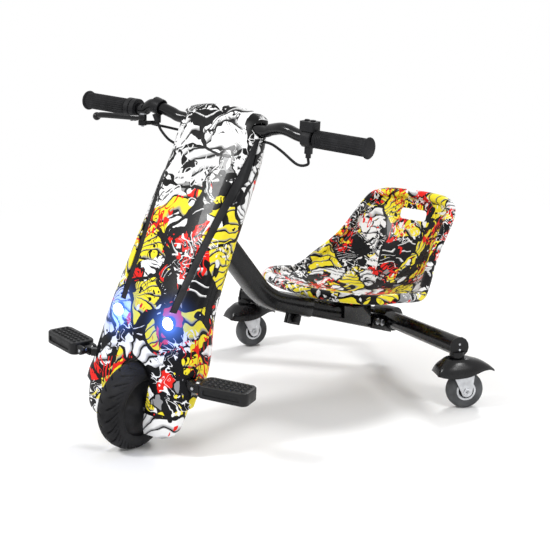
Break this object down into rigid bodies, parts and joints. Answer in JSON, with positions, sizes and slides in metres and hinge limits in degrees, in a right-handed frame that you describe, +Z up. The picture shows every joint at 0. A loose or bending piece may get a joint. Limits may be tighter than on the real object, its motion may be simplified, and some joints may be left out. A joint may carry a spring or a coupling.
{
  "type": "electric drift tricycle scooter",
  "caption": "Low ride-on tricycle: driven front wheel under a broad moulded steering column, cranked frame tube, bucket seat and a swept crossbar on swivelling casters.",
  "frame": {"origin": "middle of the footprint of the whole tricycle, on the ground under it", "axes": "+Z up, -Y towards the front wheel, +X towards the rider's left"},
  "size_m": [0.6838, 0.9196, 0.6178],
  "materials": {
    "print": "glossy printed moulding, white ground with black, grey, yellow and red shapes",
    "black_paint": "glossy black powder coat",
    "black_plastic": "fine-grained black moulding",
    "rubber": "matt black rubber",
    "front_tyre": "dark rubber with a grooved tread",
    "zinc": "bright zinc plate",
    "caster_tyre": "smooth grey polyurethane",
    "steel": "plain turned steel",
    "lens": "clear domed lamp lens",
    "battery": "shrink-wrapped cell pack",
    "alloy": "dark cast aluminium"
  },
  "bodies": {
    "rear_frame": {"slide_tube": "black_paint", "crossbar": "black_paint", "crossbar_yoke": "black_paint", "yoke_bolt_1": "steel", "yoke_bolt_2": "steel", "end_cap_left": "black_plastic", "end_cap_right": "black_plastic", "seat_shell": "print", "seat_bracket": "black_paint"},
    "main_tube": {"main_frame": "black_paint", "clamp_bolt": "black_plastic", "lower_bearing": "steel", "upper_bearing": "steel"},
    "front_column": {"fork": "black_paint", "headset_nut": "steel", "stem": "black_paint", "battery_pack": "battery", "motor_controller": "alloy", "front_axle": "steel", "axle_nut_left": "steel", "axle_nut_right": "steel", "front_cover": "print", "rear_cover": "print", "charge_inlet": "black_plastic", "groove_trim_left": "black_plastic", "groove_trim_right": "black_plastic", "headlight_housing_left": "black_plastic", "headlight_housing_right": "black_plastic", "headlight_lens_left": "lens", "headlight_lens_right": "lens", "handlebar": "black_paint", "throttle_housing": "black_plastic", "brake_perch": "black_plastic", "lever_pin": "steel", "brake_cable": "rubber", "throttle_cable": "rubber", "left_grip": "rubber", "switch_pod": "black_plastic", "switch_cable": "rubber", "peg_bracket_left": "black_paint", "peg_bracket_right": "black_paint", "peg_pin_left": "steel", "peg_pin_right": "steel"},
    "front_wheel": {"front_tyre": "front_tyre", "hub_motor": "alloy"},
    "throttle": {"throttle_grip": "rubber"},
    "brake": {"brake_lever": "black_paint"},
    "power_switch": {"power_button": "rubber"},
    "mode_switch": {"mode_button": "rubber"},
    "left_peg": {"foot_peg_left": "black_plastic"},
    "right_peg": {"foot_peg_right": "black_plastic"},
    "left_caster": {"caster_fork_left": "zinc", "caster_fender_left": "black_paint"},
    "left_caster_wheel": {"caster_rim_left": "zinc", "caster_tyre_left": "caster_tyre"},
    "right_caster": {"caster_fork_right": "zinc", "caster_fender_right": "black_paint"},
    "right_caster_wheel": {"caster_rim_right": "zinc", "caster_tyre_right": "caster_tyre"}
  },
  "joints": [
    {"name": "frame_length", "type": "slide", "parent": "rear_frame", "child": "main_tube", "axis": [0, -0.9478, 0.319], "range_m": [0, 0.05]},
    {"name": "steering", "type": "hinge", "parent": "main_tube", "child": "front_column", "pos_m": [-0.00797, -0.19729, 0.40307], "axis": [0, 0.4457, 0.8952], "range_deg": [-53, 36.8]},
    {"name": "front_wheel_spin", "type": "hinge", "parent": "front_column", "child": "front_wheel", "pos_m": [-0.00517, -0.37949, 0.08091], "axis": [0.9898, 0.1277, -0.0636], "continuous": true},
    {"name": "throttle_twist", "type": "hinge", "parent": "front_column", "child": "throttle", "pos_m": [-0.268, -0.20068, 0.59493], "axis": [-0.9898, -0.1277, 0.0636], "range_deg": [0, 60], "stiffness_Nm_per_rad": 0.08},
    {"name": "brake_squeeze", "type": "hinge", "parent": "front_column", "child": "brake", "pos_m": [-0.1583, -0.21371, 0.57798], "axis": [-0.0636, -0.0041, -0.998], "range_deg": [0, 12], "stiffness_Nm_per_rad": 0.6},
    {"name": "power_press", "type": "slide", "parent": "front_column", "child": "power_switch", "axis": [-0.0636, -0.0041, -0.998], "range_m": [0, 0.0015], "stiffness_N_per_m": 400},
    {"name": "mode_press", "type": "slide", "parent": "front_column", "child": "mode_switch", "axis": [-0.0636, -0.0041, -0.998], "range_m": [0, 0.0015], "stiffness_N_per_m": 400},
    {"name": "left_peg_fold", "type": "hinge", "parent": "front_column", "child": "left_peg", "pos_m": [0.13, -0.34721, 0.14231], "axis": [0.3471, -0.9377, -0.0183], "range_deg": [0, 70]},
    {"name": "right_peg_fold", "type": "hinge", "parent": "front_column", "child": "right_peg", "pos_m": [-0.13526, -0.38143, 0.15935], "axis": [0.0982, 0.9951, -0.0103], "range_deg": [0, 70]},
    {"name": "left_caster_swivel", "type": "hinge", "parent": "rear_frame", "child": "left_caster", "pos_m": [0.29202, 0.20233, 0.084], "axis": [0, 0, 1], "continuous": true},
    {"name": "left_caster_roll", "type": "hinge", "parent": "left_caster", "child": "left_caster_wheel", "pos_m": [0.3021, 0.21677, 0.0375], "axis": [0.8202, -0.5721, 0], "continuous": true},
    {"name": "right_caster_swivel", "type": "hinge", "parent": "rear_frame", "child": "right_caster", "pos_m": [-0.30797, 0.20233, 0.084], "axis": [0, 0, 1], "continuous": true},
    {"name": "right_caster_roll", "type": "hinge", "parent": "right_caster", "child": "right_caster_wheel", "pos_m": [-0.30239, 0.21902, 0.0375], "axis": [0.9483, -0.3173, 0], "continuous": true}
  ]
}
